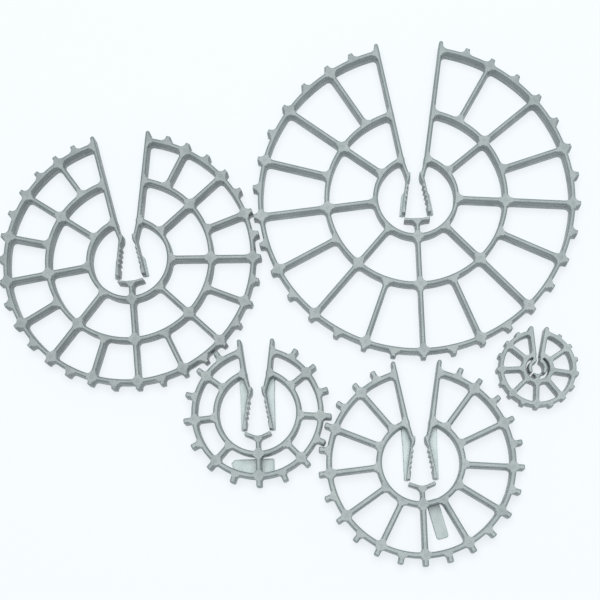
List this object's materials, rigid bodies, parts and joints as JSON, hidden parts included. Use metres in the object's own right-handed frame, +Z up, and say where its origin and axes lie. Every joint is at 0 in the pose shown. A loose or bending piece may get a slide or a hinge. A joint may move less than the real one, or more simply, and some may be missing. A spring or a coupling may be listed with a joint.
{
  "type": "set of wheel spacers for reinforcing bars",
  "caption": "Graded set of round toothed plastic wheels, each with spokes, a slot and a sprung clamp that snaps onto a steel bar to hold it at a set distance from a surface.",
  "frame": {"origin": "centre of the bottom face of the whole set's bounding box, on the surface it lies on", "axes": "+Z up along the wheels' axles, +X along the longer side of the laid-out set, +Y towards the side that the bar slots open to"},
  "size_m": [0.3205, 0.2907, 0.0105],
  "materials": {
    "wheel_plastic": "satin moulded, light grey",
    "seat_plastic": "satin moulded, light grey",
    "jaw_plastic": "satin moulded, light grey"
  },
  "bodies": {
    "extra_large_wheel": {"extra_large_wheel": "wheel_plastic", "extra_large_bar_seat": "seat_plastic"},
    "extra_large_left_jaw": {"extra_large_left_jaw": "jaw_plastic"},
    "extra_large_right_jaw": {"extra_large_right_jaw": "jaw_plastic"},
    "large_wheel": {"large_wheel": "wheel_plastic", "large_bar_seat": "seat_plastic"},
    "large_left_jaw": {"large_left_jaw": "jaw_plastic"},
    "large_right_jaw": {"large_right_jaw": "jaw_plastic"},
    "medium_wheel": {"medium_wheel": "wheel_plastic", "medium_bar_seat": "seat_plastic"},
    "medium_left_jaw": {"medium_left_jaw": "jaw_plastic"},
    "medium_right_jaw": {"medium_right_jaw": "jaw_plastic"},
    "small_wheel": {"small_wheel": "wheel_plastic", "small_bar_seat": "seat_plastic"},
    "small_left_jaw": {"small_left_jaw": "jaw_plastic"},
    "small_right_jaw": {"small_right_jaw": "jaw_plastic"},
    "mini_wheel": {"mini_wheel": "wheel_plastic", "mini_bar_seat": "seat_plastic"},
    "mini_left_jaw": {"mini_left_jaw": "jaw_plastic"},
    "mini_right_jaw": {"mini_right_jaw": "jaw_plastic"}
  },
  "joints": [
    {"name": "extra_large_left_jaw_flex", "type": "hinge", "parent": "extra_large_wheel", "child": "extra_large_left_jaw", "pos_m": [0.06249, 0.07456, 0.00525], "axis": [0, 0, -1], "range_deg": [0, 15], "stiffness_Nm_per_rad": 0.02},
    {"name": "extra_large_right_jaw_flex", "type": "hinge", "parent": "extra_large_wheel", "child": "extra_large_right_jaw", "pos_m": [0.07628, 0.07506, 0.00525], "axis": [0, 0, 1], "range_deg": [0, 15], "stiffness_Nm_per_rad": 0.02},
    {"name": "large_lift", "type": "slide", "parent": "extra_large_wheel", "child": "large_wheel", "axis": [0, 0, 1], "range_m": [0, 0.03]},
    {"name": "large_left_jaw_flex", "type": "hinge", "parent": "large_wheel", "child": "large_left_jaw", "pos_m": [-0.09648, 0.03945, 0.00525], "axis": [0, 0, -1], "range_deg": [0, 15], "stiffness_Nm_per_rad": 0.02},
    {"name": "large_right_jaw_flex", "type": "hinge", "parent": "large_wheel", "child": "large_right_jaw", "pos_m": [-0.08275, 0.0408, 0.00525], "axis": [0, 0, 1], "range_deg": [0, 15], "stiffness_Nm_per_rad": 0.02},
    {"name": "medium_lift", "type": "slide", "parent": "extra_large_wheel", "child": "medium_wheel", "axis": [0, 0, 1], "range_m": [0, 0.03]},
    {"name": "medium_left_jaw_flex", "type": "hinge", "parent": "medium_wheel", "child": "medium_left_jaw", "pos_m": [0.06359, -0.07124, 0.00525], "axis": [0, 0, -1], "range_deg": [0, 15], "stiffness_Nm_per_rad": 0.02},
    {"name": "medium_right_jaw_flex", "type": "hinge", "parent": "medium_wheel", "child": "medium_right_jaw", "pos_m": [0.07738, -0.07074, 0.00525], "axis": [0, 0, 1], "range_deg": [0, 15], "stiffness_Nm_per_rad": 0.02},
    {"name": "small_lift", "type": "slide", "parent": "extra_large_wheel", "child": "small_wheel", "axis": [0, 0, 1], "range_m": [0, 0.03]},
    {"name": "small_left_jaw_flex", "type": "hinge", "parent": "small_wheel", "child": "small_left_jaw", "pos_m": [-0.02388, -0.04473, 0.00525], "axis": [0, 0, -1], "range_deg": [0, 15], "stiffness_Nm_per_rad": 0.02},
    {"name": "small_right_jaw_flex", "type": "hinge", "parent": "small_wheel", "child": "small_right_jaw", "pos_m": [-0.01009, -0.04425, 0.00525], "axis": [0, 0, 1], "range_deg": [0, 15], "stiffness_Nm_per_rad": 0.02},
    {"name": "mini_lift", "type": "slide", "parent": "extra_large_wheel", "child": "mini_wheel", "axis": [0, 0, 1], "range_m": [0, 0.03]},
    {"name": "mini_left_jaw_flex", "type": "hinge", "parent": "mini_wheel", "child": "mini_left_jaw", "pos_m": [0.13241, -0.03468, 0.00525], "axis": [0, 0, -1], "range_deg": [0, 6], "stiffness_Nm_per_rad": 0.01},
    {"name": "mini_right_jaw_flex", "type": "hinge", "parent": "mini_wheel", "child": "mini_right_jaw", "pos_m": [0.13661, -0.03491, 0.00525], "axis": [0, 0, 1], "range_deg": [0, 6], "stiffness_Nm_per_rad": 0.01}
  ]
}
